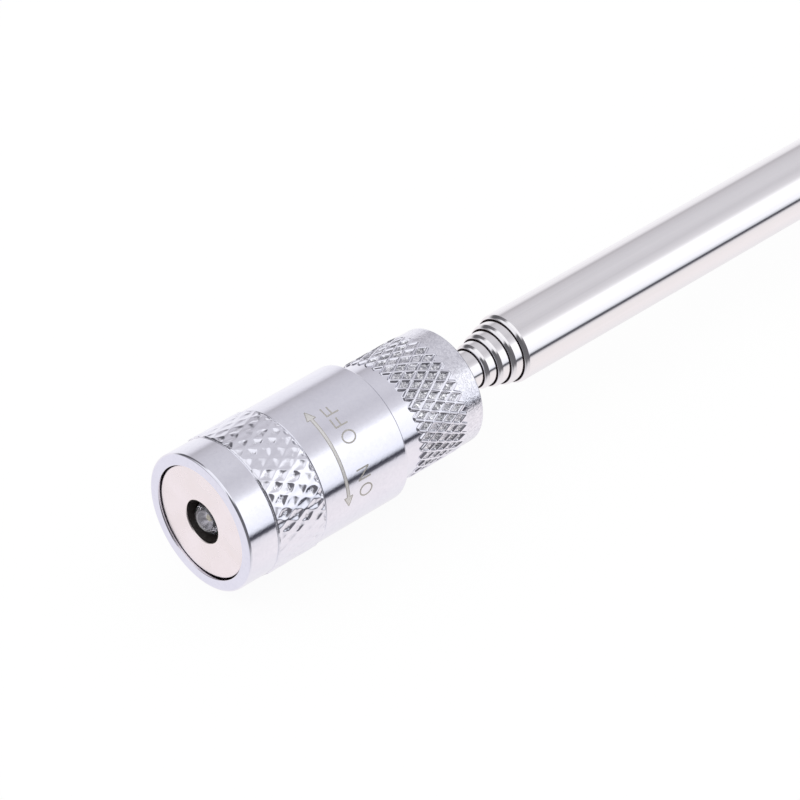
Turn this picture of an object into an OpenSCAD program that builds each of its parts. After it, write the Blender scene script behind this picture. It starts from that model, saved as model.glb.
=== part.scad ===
// Telescopic magnetic pickup tool with a lamp in its twist-on head.
// Millimetres. The tool lies along +X and +Z is up. The origin is the centre of the head's front rim,
// and the tool rests level on the head's knurl and on the pocket clip, which points down.

/* [Head barrel] */
// Outside diameter of the head barrel
barrel_d = 13.7; // [13.2:0.1:16]
// Length of the head barrel
barrel_len = 19.1; // [17.75:0.05:22]
// Bore of the barrel behind the magnet
barrel_bore_d = 10.3; // [10:0.1:10.8]
// Radius of the barrel's rounded rear edge
barrel_rear_round = 0.4; // [0.2:0.1:1.1]
// Chamfer round the barrel's front edge
barrel_front_chamfer = 0.12; // [0.05:0.01:0.3]
// Plain lip in front of the barrel's knurl
barrel_lip = 3.45; // [2:0.05:5]
// Length of the barrel's knurled band
barrel_knurl_len = 5.55; // [4:0.05:8]
// Grooves of each hand in the barrel's knurl
barrel_knurl_starts = 36; // [24:2:44]
// Rows of half diamonds along the barrel's knurl
barrel_knurl_rows = 5; // [3:1:8]

/* [Knurl] */
// How far the knurl's crests stand above the barrel
knurl_rise = 0.12; // [0.05:0.01:0.2]
// Depth of the knurl from its crests to its hollows
knurl_depth = 0.26; // [0.15:0.01:0.35]

/* [Magnet] */
// Depth of the magnet's face below the head's rim
magnet_recess = 0.25; // [0.1:0.05:0.5]
// Outside diameter of the ring magnet
magnet_d = 11.2; // [10.8:0.1:11.6]
// Hole through the ring magnet
magnet_hole_d = 4.3; // [4.2:0.1:5]
// Thickness of the ring magnet
magnet_t = 3; // [2.4:0.1:3.6]
// Chamfer on the magnet's edges
magnet_chamfer = 0.1; // [0.05:0.01:0.2]

/* [Lamp] */
// Diameter of the lamp's lens
led_d = 3.5; // [3.3:0.1:3.8]
// Length of the lens from its tip to its flange
led_len = 5; // [4.6:0.1:5.6]
// Diameter of the lens flange
led_flange_d = 4.2; // [4:0.1:4.5]
// Thickness of the lens flange
led_flange_t = 1; // [0.8:0.1:1.2]
// Depth of the lens tip below the head's rim
led_recess = 0.05; // [0.05:0.05:0.8]
// Distance between the lamp's two leads
lead_pitch = 1.6; // [1.4:0.1:1.8]
// Width of each square lead
lead_w = 0.45; // [0.3:0.05:0.5]
// Diameter of the reflector cup in the lens
cup_d = 0.9; // [0.6:0.05:0.9]
// Thickness of the reflector cup
cup_t = 0.35; // [0.2:0.05:0.5]
// Distance from the back of the reflector cup to the lens flange
cup_stand = 1.6; // [1:0.1:2]
// How far the second lead stops short of the reflector cup
lead_short = 0.4; // [0.2:0.1:0.8]
// Depth of the holder's nose below the magnet's face
holder_recess = 0.1; // [0.05:0.05:1.2]
// Thickness of the lamp holder's flange
holder_flange_t = 1; // [0.8:0.1:1.2]
// Diameter of the boss behind the holder's flange
holder_boss_d = 6.4; // [5.4:0.1:8]

/* [Contact board] */
// Thickness of the contact board
board_t = 0.8; // [0.6:0.1:1]
// Diameter of the contact rivet's head
rivet_head_d = 2.6; // [2:0.1:4]
// Thickness of the contact rivet's head
rivet_head_t = 0.4; // [0.3:0.05:0.6]
// Diameter of the contact rivet's shank
rivet_d = 0.8; // [0.6:0.1:0.9]
// Chamfer on the contact rivet's head
rivet_chamfer = 0.15; // [0.05:0.05:0.2]

/* [Battery] */
// Diameter of a button cell
cell_d = 7.9; // [7.6:0.1:7.9]
// Height of a button cell
cell_t = 3.6; // [3.4:0.1:3.7]
// Height of the cap that stands out of a cell's can
cell_cap_t = 0.7; // [0.5:0.1:0.9]
// Diameter of a cell's cap
cell_cap_d = 6.3; // [5.6:0.1:6.8]
// Radius of a cell's edges
cell_round = 0.25; // [0.1:0.05:0.3]
// Wall of the insulating sleeve round the cells
sleeve_wall = 0.22; // [0.15:0.01:0.25]
// Wire diameter of the contact spring
spring_wire_d = 0.45; // [0.3:0.05:0.5]
// Mean coil diameter of the contact spring
spring_coil_d = 5.2; // [4:0.1:6.5]
// Turns of the contact spring
spring_turns = 5; // [4:1:6]

/* [Rear cap] */
// Bore of the cap round the cells
cap_bore_d = 8.6; // [8.5:0.05:9]
// Diameter of the cap's threaded spigot
spigot_d = 10.2; // [9.6:0.05:10.2]
// Length of the spigot's threaded end
thread_len = 5.5; // [4:0.1:7]
// Depth of the relief in front of the threads
thread_relief = 0.15; // [0.05:0.01:0.25]
// Diameter of the cap's neck
neck_d = 11.5; // [11:0.1:12]
// Length of the cap's neck
neck_len = 2.2; // [1.5:0.1:4]
// Crest diameter of the cap's knurled band
cap_knurl_d = 11.9; // [11.6:0.1:12.4]
// Length of the cap's knurled band
cap_knurl_len = 6.1; // [5:0.1:9]
// Grooves of each hand in the cap's knurl
cap_knurl_starts = 36; // [24:2:44]
// Rows of half diamonds along the cap's knurl
cap_knurl_rows = 6; // [4:1:9]
// Diameter of the cap's plain rim
cap_rim_d = 11.7; // [11:0.1:12]
// Length of the cap's plain rim
cap_rim_len = 1.9; // [1:0.1:3]
// Radius of the rim's rear edge
cap_rim_round = 0.5; // [0.1:0.05:0.6]
// Thickness of the web that carries the rod
web_t = 5.2; // [3.5:0.1:6]
// Chamfer round the rod's hole in the web
rod_hole_chamfer = 0.1; // [0.05:0.05:0.2]

/* [Twist switch] */
// Pitch of the thread between barrel and cap
thread_pitch = 0.5; // [0.4:0.05:0.75]
// Turn of the barrel from OFF to ON, in degrees
switch_turn = 90; // [60:5:100]

/* [Rod stud] */
// Thickness of the stud's flange inside the cap
stud_flange_t = 1; // [0.8:0.1:1.5]
// Length of the stud inside the smallest tube
stud_len = 7; // [4:0.5:12]
// Chamfer on the inner ends of the stud and the tail cap
plug_chamfer = 0.3; // [0.1:0.05:0.5]

/* [Telescopic tubes] */
// Outside diameter of the smallest tube
rod_d = 3.8; // [3.4:0.1:4.2]
// Step in diameter from each tube to the next
stage_step = 0.8; // [0.76:0.02:0.9]
// Wall of every tube
tube_wall = 0.25; // [0.22:0.01:0.26]
// Distance from the cap's rear face to the first tube lip
lip_stand = 3.8; // [2.5:0.1:6]
// Distance from each tube lip to the next with the tool closed
lip_step = 1.35; // [1:0.05:2]
// Length over which each tube's end is swaged in
lip_len = 0.8; // [0.5:0.05:1.2]
// Wall left at a swaged lip's edge
lip_wall = 0.12; // [0.1:0.01:0.18]
// Length of the main tube
main_len = 129; // [100:1:160]
// Length of the flare at the inner end of each moving tube
flare_len = 0.7; // [0.5:0.1:1.2]

/* [Friction springs] */
// Length of each friction spring
grip_len = 8; // [6:0.5:12]
// Width of the slit along each friction spring
grip_slit = 0.9; // [0.6:0.1:1.2]
// Windows round each friction spring
grip_windows = 3; // [2:1:4]
// Width of each window
grip_window_w = 0.8; // [0.5:0.1:1]
// Length of the solid hoop at each end of a friction spring
grip_hoop = 1.5; // [1:0.1:2]

/* [Tail] */
// Length of the tail cap's spigot
tail_spigot_len = 6; // [4:0.5:10]
// Length of the tail cap outside the tube
tail_cap_len = 4; // [3:0.5:8]
// Radius of the tail cap's rounded end
tail_round = 1.8; // [1:0.1:2.6]

/* [Pocket clip] */
// Thickness of the clip's strip
clip_t = 0.5; // [0.4:0.05:0.7]
// Width of the clip's arm
clip_w = 5; // [4:0.1:6]
// Length of the band that holds the clip
clip_band_len = 7; // [5:0.5:10]
// Distance from the band to the main tube's rear end
clip_tail_gap = 2; // [1:0.1:5]
// Length of the arm in front of the band
clip_arm_len = 41; // [30:1:60]
// Length of the slope that carries the arm out from the band
clip_rise_len = 5; // [4:0.5:8]
// Length of the slope that brings the arm back to the tube
clip_fall_len = 6; // [5:0.5:9]
// Length of the turned-out tip
clip_tip_len = 4; // [3:0.5:6]
// Distance that the turned-out tip stands away from the tube
clip_tip_lift = 1.6; // [1:0.1:2.4]
// Inside radius of the arm's bends
clip_bend_r = 1.5; // [1:0.1:2]

/* [Clearances] */
// Radial clearance of glued and pressed pieces
seat_clear = 0.05; // [0.02:0.01:0.08]
// Radial clearance of the magnet in its pocket
magnet_clear = 0.1; // [0.05:0.01:0.15]
// Radial clearance of turning and sliding pieces
run_clear = 0.05; // [0.03:0.01:0.08]
// Radial clearance of each tube in the lip round it
lip_clear = 0.12; // [0.04:0.01:0.14]
// Radial clearance of each friction spring on its tube
grip_clear = 0.02; // [0.01:0.005:0.03]
// Gap between faces that touch in use
touch_gap = 0.02; // [0.01:0.01:0.05]
// Gap between faces that must never touch
stop_gap = 0.3; // [0.2:0.05:0.5]

/* [Hidden] */

SMOOTH = 96;         // facets of a full turn in previews; every round here is a true curve
STAGES = 5;          // tubes, counted from the smallest
CELLS = 3;           // cells in the stack
ARC_STEPS = 4;       // straight steps in a rounded edge
LIP_STEPS = 3;       // straight steps in a swaged lip
COIL_SIDES = 8;      // sides of the spring's wire
COIL_RINGS = 14;     // wire sections in each turn of the spring
DEAD_COIL = 1;       // closed turns at each end of the spring
KNURL_SEAT = 0.12;   // how deep a knurled ring sinks into the core under it
OVER = 1;            // how far a cutter runs past what it cuts

barrel_r = barrel_d / 2;
bore_r = barrel_bore_d / 2;
pocket_r = magnet_d / 2 + magnet_clear;
crest_r = barrel_r + knurl_rise;
cap_crest_r = cap_knurl_d / 2;

// Stations along the head, from its rim backwards
magnet_x = magnet_recess;
magnet_back_x = magnet_x + magnet_t;
nose_x = magnet_x + holder_recess;
holder_x = magnet_back_x + touch_gap;
pocket_x = holder_x + holder_flange_t;
led_flange_x = led_recess + led_len;
led_back_x = led_flange_x + led_flange_t;
board_x = led_back_x + touch_gap;
board_back_x = board_x + board_t;
rivet_back_x = board_back_x + rivet_head_t;
cells_x = rivet_back_x + touch_gap;
cells_back_x = cells_x + CELLS * cell_t;
switch_travel = thread_pitch * switch_turn / 360;
spigot_x = board_back_x + switch_travel + touch_gap;
neck_x = barrel_len + switch_travel + touch_gap;
cap_knurl_x = neck_x + neck_len;
cap_rim_x = cap_knurl_x + cap_knurl_len;
cap_rear_x = cap_rim_x + cap_rim_len;
web_x = cap_rear_x - web_t;
stud_x = web_x - stud_flange_t;

// Stations along the rod
main_end_x = lip_x(STAGES) + main_len;
tail_spigot_x = main_end_x - tail_spigot_len;
inner_end_x = tail_spigot_x - stop_gap - 2 * touch_gap;
flare_x = inner_end_x - flare_len;
grip_x = flare_x - touch_gap - grip_len;
tail_end_x = main_end_x + tail_cap_len;
annulus = stage_step / 2 - tube_wall;
rest_r = crest_r;

// Radii and lip places of the tubes, numbered from the smallest
function tube_r(k) = rod_d / 2 + (k - 1) * stage_step / 2;
function tube_bore_r(k) = tube_r(k) - tube_wall;
function lip_x(k) = cap_rear_x + lip_stand + (k - 2) * lip_step;

// Radius of the plain core under a knurled band with this crest radius
function knurl_core(crest) = crest - knurl_depth - KNURL_SEAT;

// A quarter arc from angle a to angle b about a centre, as points (x, r)
function arc(c, radius, a, b, n = ARC_STEPS) =
    [for (i = [0:n]) c + radius * [cos(a + (b - a) * i / n), sin(a + (b - a) * i / n)]];

// Revolves a closed outline of points (x, r) about the tool's axis
module turned(outline) {
    rotate([0, 90, 0])
        rotate_extrude($fn = SMOOTH)
            polygon([for (p = outline) [p[1], p[0]]]);
}

// A knurled band as a closed ring: crests and hollows alternate like a draughtboard, the ridges join
// crest to crest along both hands of the helix, and the four facets between them fall to the hollow
module knurled_ring(x, len, crest, starts, rows) {
    around = 2 * starts;
    hollow = crest - knurl_depth;
    inner = knurl_core(crest) - KNURL_SEAT;
    function radius(i, j) = (i + j) % 2 == 0 ? crest : hollow;
    function spot(i, xx, r) = [xx, r * cos(180 * i / starts), r * sin(180 * i / starts)];
    function at(i, j) = j * around + i % around;
    skin = [for (j = [0:rows], i = [0:around - 1]) spot(i, x + len * j / rows, radius(i, j))];
    core = [for (j = [0, 1], i = [0:around - 1]) spot(i, x + len * j, inner)];
    function core_at(i, j) = (rows + 1 + j) * around + i % around;
    facets = [for (j = [0:rows - 1], i = [0:around - 1])
        let (a = at(i, j), b = at(i + 1, j), c = at(i + 1, j + 1), d = at(i, j + 1))
        each (i + j) % 2 == 0 ? [[a, c, b], [a, d, c]] : [[a, d, b], [b, d, c]]];
    front = [for (i = [0:around - 1]) [at(i, 0), at(i + 1, 0), core_at(i + 1, 0), core_at(i, 0)]];
    rear = [for (i = [0:around - 1]) [core_at(i, 1), core_at(i + 1, 1), at(i + 1, rows), at(i, rows)]];
    inside = [for (i = [0:around - 1]) [core_at(i, 0), core_at(i + 1, 0), core_at(i + 1, 1), core_at(i, 1)]];
    polyhedron(concat(skin, core), concat(facets, front, rear, inside));
}

// The barrel is turned with a knurled band, a magnet pocket in front and the thread's bore behind
module head_barrel() {
    knurl_end = barrel_lip + barrel_knurl_len;
    core_r = knurl_core(crest_r);
    c = barrel_front_chamfer;
    color("lightsteelblue")
        union() {
            turned(concat(
                [[0, pocket_r + c], [0, barrel_r - c], [c, barrel_r], [barrel_lip, barrel_r],
                 [barrel_lip, core_r], [knurl_end, core_r], [knurl_end, barrel_r]],
                arc([barrel_len - barrel_rear_round, barrel_r - barrel_rear_round], barrel_rear_round, 90, 0),
                [[barrel_len, bore_r], [pocket_x, bore_r], [pocket_x, pocket_r], [c, pocket_r]]));
            knurled_ring(barrel_lip, barrel_knurl_len, crest_r, barrel_knurl_starts, barrel_knurl_rows);
        }
}

// The ring magnet lies just below the barrel's rim, which guards its edge
module ring_magnet() {
    r = magnet_d / 2;
    hole = magnet_hole_d / 2;
    c = magnet_chamfer;
    color("mistyrose")
        turned([[magnet_x, hole + c], [magnet_x, r - c], [magnet_x + c, r], [magnet_back_x - c, r],
            [magnet_back_x, r - c], [magnet_back_x, hole], [magnet_x + c, hole]]);
}

// The black holder backs the magnet, and its nose lines the magnet's hole round the lens
module led_holder() {
    nose_r = magnet_hole_d / 2 - seat_clear;
    bore = led_d / 2 + seat_clear;
    flange_r = pocket_r - seat_clear;
    color("dimgray")
        turned([[nose_x, bore], [nose_x, nose_r], [holder_x, nose_r], [holder_x, flange_r],
            [pocket_x - touch_gap, flange_r], [pocket_x - touch_gap, holder_boss_d / 2],
            [led_back_x, holder_boss_d / 2], [led_back_x, led_flange_d / 2 + seat_clear],
            [led_flange_x - touch_gap, led_flange_d / 2 + seat_clear], [led_flange_x - touch_gap, bore]]);
}

// The two leads and the reflector cup on one of them, grown by a clearance where they are cut from the lens
module lead_pair(grow) {
    cup_x = led_flange_x - cup_stand;
    for (side = [-1, 1]) {
        lead_x = side < 0 ? cup_x : cup_x + lead_short;
        translate([lead_x - grow, side * lead_pitch / 2 - lead_w / 2 - grow, -lead_w / 2 - grow])
            cube([board_back_x - lead_x + grow, lead_w + 2 * grow, lead_w + 2 * grow]);
    }
    translate([cup_x - cup_t - grow, -lead_pitch / 2, 0])
        rotate([0, 90, 0])
            cylinder(h = cup_t + grow, r = cup_d / 2 + grow, $fn = SMOOTH);
}

// The clear lens is a domed lamp body with a flange
module led_lens() {
    r = led_d / 2;
    dome = arc([led_recess + r, 0], r, 180, 90, 2 * ARC_STEPS);
    color("aliceblue", 0.5)
        difference() {
            turned(concat(dome, [[led_flange_x, r], [led_flange_x, led_flange_d / 2],
                [led_back_x, led_flange_d / 2], [led_back_x, 0]]));
            lead_pair(touch_gap);
        }
}

// Two leads run from the reflector cup in the lens to the back of the board
module led_leads() {
    color("silver")
        lead_pair(0);
}

// The round board carries the lamp's leads and the contact rivet
module contact_board() {
    r = bore_r - seat_clear;
    color("darkgreen")
        difference() {
            translate([board_x, 0, 0])
                rotate([0, 90, 0])
                    cylinder(h = board_t, r = r, $fn = SMOOTH);
            lead_pair(touch_gap);
            translate([board_x - OVER, 0, 0])
                rotate([0, 90, 0])
                    cylinder(h = board_t + 2 * OVER, r = rivet_d / 2 + touch_gap, $fn = SMOOTH);
        }
}

// The brass rivet touches the first cell
module contact_rivet() {
    r = rivet_head_d / 2;
    c = rivet_chamfer;
    head_x = board_back_x + touch_gap;
    color("goldenrod")
        turned([[board_x, 0], [board_x, rivet_d / 2], [head_x, rivet_d / 2], [head_x, r - c],
            [rivet_back_x - c, r], [rivet_back_x, r - c], [rivet_back_x, 0]]);
}

// The insulating sleeve holds the cells in line
module battery_sleeve() {
    inner = cell_d / 2 + seat_clear;
    color("whitesmoke")
        turned([[cells_x, inner], [cells_x, inner + sleeve_wall], [cells_back_x, inner + sleeve_wall],
            [cells_back_x, inner]]);
}

// A button cell: a wide can with a narrower cap that faces the spring
module button_cell(k) {
    front = cells_x + (k - 1) * cell_t;
    back = front + cell_t - touch_gap;
    can_back = front + cell_t - cell_cap_t;
    r = cell_d / 2;
    cap_r = cell_cap_d / 2;
    c = cell_round;
    color("gainsboro")
        turned(concat([[front, 0]], arc([front + c, r - c], c, 180, 90), arc([can_back - c, r - c], c, 90, 0),
            [[can_back, cap_r]], arc([back - c, cap_r - c], c, 90, 0), [[back, 0]]));
}

// The cap's long spigot is the battery tube, its neck and knurl show, and its web carries the rod
module rear_cap() {
    r = spigot_d / 2;
    bore = cap_bore_d / 2;
    core_r = knurl_core(cap_crest_r);
    thread_x = neck_x - thread_len;
    rod_hole_r = tube_r(1) + seat_clear;
    c = rod_hole_chamfer;
    color("lightsteelblue")
        union() {
            turned(concat(
                [[spigot_x, bore], [spigot_x, r - thread_relief], [thread_x, r - thread_relief],
                 [thread_x, r], [neck_x, r], [neck_x, neck_d / 2], [cap_knurl_x, neck_d / 2],
                 [cap_knurl_x, core_r], [cap_rim_x, core_r], [cap_rim_x, cap_rim_d / 2]],
                arc([cap_rear_x - cap_rim_round, cap_rim_d / 2 - cap_rim_round], cap_rim_round, 90, 0),
                [[cap_rear_x, rod_hole_r + c], [cap_rear_x - c, rod_hole_r], [web_x, rod_hole_r],
                 [web_x, bore]]));
            knurled_ring(cap_knurl_x, cap_knurl_len, cap_crest_r, cap_knurl_starts, cap_knurl_rows);
        }
}

// A compression spring wound from round wire with a closed turn at each end
module contact_spring() {
    wire = spring_wire_d / 2;
    x0 = cells_back_x + touch_gap + wire;
    x1 = stud_x - touch_gap - wire;
    rings = spring_turns * COIL_RINGS;
    live = spring_turns - 2 * DEAD_COIL;
    rise = x1 - x0 - 2 * DEAD_COIL * spring_wire_d;
    function along(t) = t < DEAD_COIL ? t * spring_wire_d
        : t < DEAD_COIL + live ? DEAD_COIL * spring_wire_d + rise * (t - DEAD_COIL) / live
        : x1 - x0 - (spring_turns - t) * spring_wire_d;
    points = [for (i = [0:rings], s = [0:COIL_SIDES - 1])
        let (t = i / COIL_RINGS, a = 360 * t, b = 360 * s / COIL_SIDES,
            r = spring_coil_d / 2 + wire * cos(b))
        [x0 + along(t) + wire * sin(b), r * cos(a), r * sin(a)]];
    sides = [for (i = [0:rings - 1], s = [0:COIL_SIDES - 1])
        let (n = (s + 1) % COIL_SIDES, p = i * COIL_SIDES, q = p + COIL_SIDES)
        each [[p + s, q + s, p + n], [p + n, q + s, q + n]]];
    first = [for (s = [0:COIL_SIDES - 1]) s];
    last = [for (s = [COIL_SIDES - 1:-1:0]) rings * COIL_SIDES + s];
    color("silver")
        polyhedron(points, concat(sides, [first, last]));
}

// The stud's flange bears on the cap's web and its shank fills the end of the smallest tube
module rod_stud() {
    r = tube_bore_r(1) - seat_clear;
    flange_r = cap_bore_d / 2 - seat_clear;
    end_x = web_x + stud_len;
    c = plug_chamfer;
    color("goldenrod")
        turned([[stud_x, 0], [stud_x, flange_r], [web_x - touch_gap, flange_r], [web_x - touch_gap, r],
            [end_x - c, r], [end_x, r - c], [end_x, 0]]);
}

// A tube's swaged lip: the wall closes in along a parabola, from the full radius to a bore that clears
// the next tube
function lip_outline(k, inward) =
    let (x = lip_x(k), bore = tube_r(k - 1) + lip_clear,
        far = inward ? tube_bore_r(k) : tube_r(k), near = inward ? bore : bore + lip_wall)
    [for (i = [0:LIP_STEPS]) let (t = i / LIP_STEPS) [x + lip_len * t, near + (far - near) * t * (2 - t)]];

// A moving tube runs from its front end to a flare at its inner end
module section(k) {
    r = tube_r(k);
    bore = tube_bore_r(k);
    flare = annulus - run_clear;
    front_outer = k == 1 ? [[web_x, r]] : lip_outline(k, false);
    front_inner = k == 1 ? [[web_x, bore]] : lip_outline(k, true);
    bell = [[flare_x, 0], [flare_x + flare_len / 2, flare], [inner_end_x, flare]];
    color("silver")
        turned(concat(front_outer, [for (p = bell) [p[0], r + p[1]]],
            [for (i = [2:-1:0]) [bell[i][0], bore + bell[i][1]]],
            [for (i = [len(front_inner) - 1:-1:0]) front_inner[i]]));
}
module section_1() { section(1); }
module section_2() { section(2); }
module section_3() { section(3); }
module section_4() { section(4); }

// The main tube is swaged in front and takes the tail cap behind
module main_tube() {
    outer = lip_outline(STAGES, false);
    inner = lip_outline(STAGES, true);
    color("silver")
        turned(concat(outer, [[main_end_x, tube_r(STAGES)], [main_end_x, tube_bore_r(STAGES)]],
            [for (i = [LIP_STEPS:-1:0]) inner[i]]));
}

// A split brass sleeve rides on the inner end of each moving tube and rubs in the tube round it
module friction_spring(k) {
    inner = tube_r(k) + grip_clear;
    outer = tube_bore_r(k + 1) - grip_clear;
    window_len = grip_len - 2 * grip_hoop;
    color("goldenrod")
        difference() {
            turned([[grip_x, inner], [grip_x, outer], [grip_x + grip_len, outer],
                [grip_x + grip_len, inner]]);
            translate([grip_x - OVER, -grip_slit / 2, 0])
                cube([grip_len + 2 * OVER, grip_slit, 2 * outer]);
            for (i = [1:grip_windows])
                rotate([360 * i / (grip_windows + 1), 0, 0])
                    translate([grip_x + grip_hoop, -grip_window_w / 2, 0])
                        cube([window_len, grip_window_w, 2 * outer]);
        }
}
module friction_spring_1() { friction_spring(1); }
module friction_spring_2() { friction_spring(2); }
module friction_spring_3() { friction_spring(3); }
module friction_spring_4() { friction_spring(4); }

// The tail cap plugs the main tube and ends in a rounded button
module tail_cap() {
    r = tube_bore_r(STAGES) - seat_clear;
    button_r = tube_r(STAGES);
    x = main_end_x + touch_gap;
    c = plug_chamfer;
    color("lightsteelblue")
        turned(concat([[tail_spigot_x, 0], [tail_spigot_x, r - c], [tail_spigot_x + c, r], [x, r],
            [x, button_r]],
            arc([tail_end_x - tail_round, button_r - tail_round], tail_round, 90, 0),
            [[tail_end_x, 0]]));
}

// Rounds the corner b of a path a-b-c with a bend of radius r
function bend(a, b, c, r) =
    let (u = (a - b) / norm(a - b), v = (c - b) / norm(c - b), half = acos(u * v) / 2,
        reach = r / tan(half), centre = b + (u + v) / norm(u + v) * (r / sin(half)),
        p = b + u * reach, q = b + v * reach,
        from = atan2(p[1] - centre[1], p[0] - centre[0]), to = atan2(q[1] - centre[1], q[0] - centre[0]),
        turn = (to - from + 540) % 360 - 180)
    arc(centre, r, from, from + turn);

// Offsets a path sideways by d, each point along the mean normal of its neighbours
function beside(path, d) = [for (i = [0:len(path) - 1])
    let (a = path[max(i - 1, 0)], b = path[min(i + 1, len(path) - 1)], t = (b - a) / norm(b - a))
    path[i] + d * [-t[1], t[0]]];

// The clip is one strip: a band round the tube, and an arm that arches out and returns to the tube
module pocket_clip() {
    tube = tube_r(STAGES);
    inner = tube + seat_clear;
    mid = inner + clip_t / 2;
    low = rest_r - clip_t / 2;
    near = tube + stop_gap + clip_t / 2;
    band_end = main_end_x - clip_tail_gap;
    band_x = band_end - clip_band_len;
    tip_x = band_x - clip_arm_len;
    touch_x = tip_x + clip_tip_len;
    bend_r = clip_bend_r + clip_t / 2;
    corner = [[band_end, -mid], [band_x, -mid], [band_x - clip_rise_len, -low],
        [touch_x + clip_fall_len, -low], [touch_x, -near], [tip_x, -near - clip_tip_lift]];
    path = concat([corner[0]], [for (i = [1:4]) each bend(corner[i - 1], corner[i], corner[i + 1], bend_r)],
        [corner[5]]);
    color("gainsboro")
        difference() {
            union() {
                translate([band_x, 0, 0])
                    rotate([0, 90, 0])
                        cylinder(h = clip_band_len, r = inner + clip_t, $fn = SMOOTH);
                rotate([90, 0, 0])
                    linear_extrude(height = clip_w, center = true)
                        polygon(concat(beside(path, clip_t / 2),
                            [for (i = [len(path) - 1:-1:0]) beside(path, -clip_t / 2)[i]]));
                translate([band_x, -clip_w / 2, -mid])
                    cube([clip_band_len, clip_w, mid]);
            }
            translate([band_x - OVER, 0, 0])
                rotate([0, 90, 0])
                    cylinder(h = clip_band_len + 2 * OVER, r = inner, $fn = SMOOTH);
        }
}

head_barrel();
ring_magnet();
led_holder();
led_lens();
led_leads();
contact_board();
contact_rivet();
battery_sleeve();
button_cell(1);  // button_cell_1
button_cell(2);  // button_cell_2
button_cell(3);  // button_cell_3
rear_cap();
contact_spring();
rod_stud();
section_1();
section_2();
section_3();
section_4();
main_tube();
friction_spring_1();
friction_spring_2();
friction_spring_3();
friction_spring_4();
tail_cap();
pocket_clip();
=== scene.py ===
# %% [markdown]
# # A telescopic magnetic pickup tool with a lamp in its head
#
# The tool is a knurled two-piece head on a nest of five polished tubes. A ring magnet closes the front of
# the head and a small lamp shines through the magnet's hole. Twisting the front barrel on the rear cap
# presses the cells against the lamp's board, which is why ON, OFF and a double arrow are marked on it.
#
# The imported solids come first. They are never moved or changed: a piece either keeps its solid and gets a
# better finish, or it is made again here with finer forms, in the same place, and stands for the solid.

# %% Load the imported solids
import math

import bpy
import numpy as np
from mathutils import Matrix, Vector


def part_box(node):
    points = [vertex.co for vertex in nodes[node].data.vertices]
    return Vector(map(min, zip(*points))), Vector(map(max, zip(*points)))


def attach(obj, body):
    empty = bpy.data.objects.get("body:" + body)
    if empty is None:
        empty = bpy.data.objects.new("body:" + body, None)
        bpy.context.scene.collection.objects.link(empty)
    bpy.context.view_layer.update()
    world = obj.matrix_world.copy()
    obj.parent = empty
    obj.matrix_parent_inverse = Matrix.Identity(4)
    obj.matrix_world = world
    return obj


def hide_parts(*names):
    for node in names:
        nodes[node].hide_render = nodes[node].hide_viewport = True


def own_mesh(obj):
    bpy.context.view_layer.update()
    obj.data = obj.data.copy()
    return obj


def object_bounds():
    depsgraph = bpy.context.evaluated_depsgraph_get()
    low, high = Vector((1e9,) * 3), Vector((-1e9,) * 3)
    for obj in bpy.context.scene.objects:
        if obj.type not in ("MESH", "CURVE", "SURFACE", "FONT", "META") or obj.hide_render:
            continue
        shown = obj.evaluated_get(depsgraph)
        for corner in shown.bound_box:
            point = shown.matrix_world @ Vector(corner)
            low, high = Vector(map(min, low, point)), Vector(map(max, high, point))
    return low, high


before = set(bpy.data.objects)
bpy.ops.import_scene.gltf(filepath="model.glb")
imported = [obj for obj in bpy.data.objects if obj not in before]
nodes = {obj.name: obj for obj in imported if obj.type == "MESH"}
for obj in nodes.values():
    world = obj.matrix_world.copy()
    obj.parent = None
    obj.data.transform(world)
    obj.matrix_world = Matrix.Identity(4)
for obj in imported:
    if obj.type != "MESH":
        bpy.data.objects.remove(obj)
cad_low, cad_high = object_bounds()

# %% [markdown]
# ## Where things are
#
# Every place on the tool is a station along its axis and a radius from it, both in millimetres. The tool
# lies along +X with the head's front rim at zero, so the stations can be read from the solids' boxes.
# Typing the numbers again would work too, but then a changed solid would leave its dress behind.

# %% Read stations and radii from the solids
MM = 0.001


def station(node, end=0):
    """Station where a solid begins (end 0) or stops (end 1) along the tool."""
    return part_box(node)[end].x / MM


def reach(node):
    """Largest distance of a round solid from the tool's axis."""
    low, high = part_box(node)
    return max(high.y, high.z, -low.y, -low.z) / MM


BARREL_END = station("head_barrel", 1)
CREST_R = reach("head_barrel")
MAGNET_R = reach("ring_magnet")
CAP_END = station("rear_cap", 1)
CAP_CREST_R = reach("rear_cap")
MAIN_R = reach("main_tube")
FLOOR_Z = cad_low.z
print(f"barrel ends at {BARREL_END:.2f}, cap at {CAP_END:.2f}, main tube radius {MAIN_R:.2f}")

# %% [markdown]
# ## The camera
#
# The head is seen from in front, above and to the right, with a long lens, so the tubes leave the picture
# on the far side. A camera is a place and three directions: right, up, and backwards out of the lens.
# Setting all four at once is surer than three turns, whose order is easily mixed up.

# %% Make the camera
HEADING, SLOPE = math.radians(47.07), math.radians(37.97)
LENS, SENSOR = 189, 36
STAND_OFF = 386.97
AIM_X, AIM_UP = 24.37, 0.77

ahead = Vector((math.cos(SLOPE) * math.cos(HEADING), math.cos(SLOPE) * math.sin(HEADING), -math.sin(SLOPE)))
right = ahead.cross(Vector((0, 0, 1))).normalized()
up = right.cross(ahead)
place = (Vector((AIM_X, 0, 0)) + AIM_UP * up - STAND_OFF * ahead) * MM

lens = bpy.data.cameras.new("camera")
lens.lens = LENS
lens.sensor_width = SENSOR
lens.clip_start = 0.01
camera = bpy.data.objects.new("camera", lens)
camera.matrix_world = Matrix((right, up, -ahead)).transposed().to_4x4()
camera.location = place
bpy.context.collection.objects.link(camera)
bpy.context.scene.camera = camera
print("camera at", [round(v / MM, 1) for v in place], "mm")

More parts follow.
